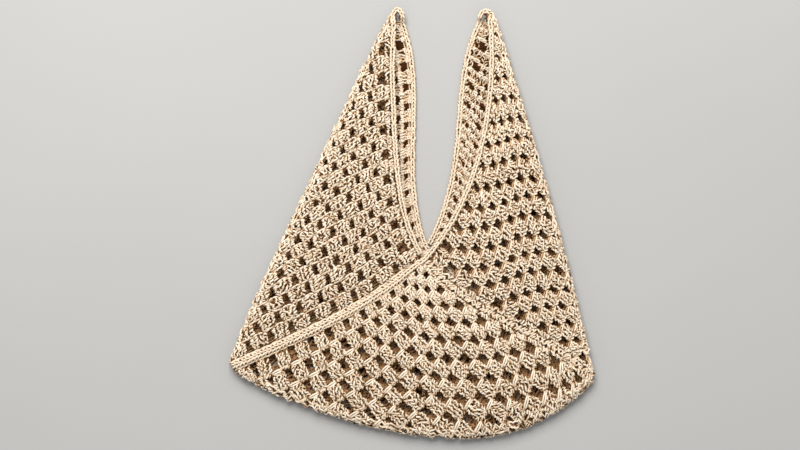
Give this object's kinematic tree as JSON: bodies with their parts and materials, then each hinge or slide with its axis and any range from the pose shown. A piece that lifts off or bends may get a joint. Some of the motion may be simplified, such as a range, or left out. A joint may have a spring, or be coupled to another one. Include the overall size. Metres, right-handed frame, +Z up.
{
  "type": "crocheted granny tote bag",
  "caption": "Openwork crocheted tote bag lying flat, its panels folded on their diagonals, with pointed tips as handles and raised edgings along lips and seams.",
  "frame": {"origin": "under the middle of the bag's outline, on the surface it lies on", "axes": "+Y from the bottom fold towards the mouth and the tips, +Z up through the two layers, +X to the right seen from above"},
  "size_m": [0.368, 0.4344, 0.017],
  "materials": {
    "panel_yarn": "matt twisted straw-coloured cotton yarn in open clusters",
    "edging_yarn": "matt twisted straw-coloured cotton yarn in chain loops"
  },
  "bodies": {
    "root": {"panel_left": "panel_yarn", "panel_middle": "panel_yarn", "panel_right": "panel_yarn", "edging_front_long": "edging_yarn", "edging_front_short": "edging_yarn", "edging_back_long": "edging_yarn", "edging_back_short": "edging_yarn", "join_front": "edging_yarn", "join_back": "edging_yarn"}
  },
  "joints": []
}
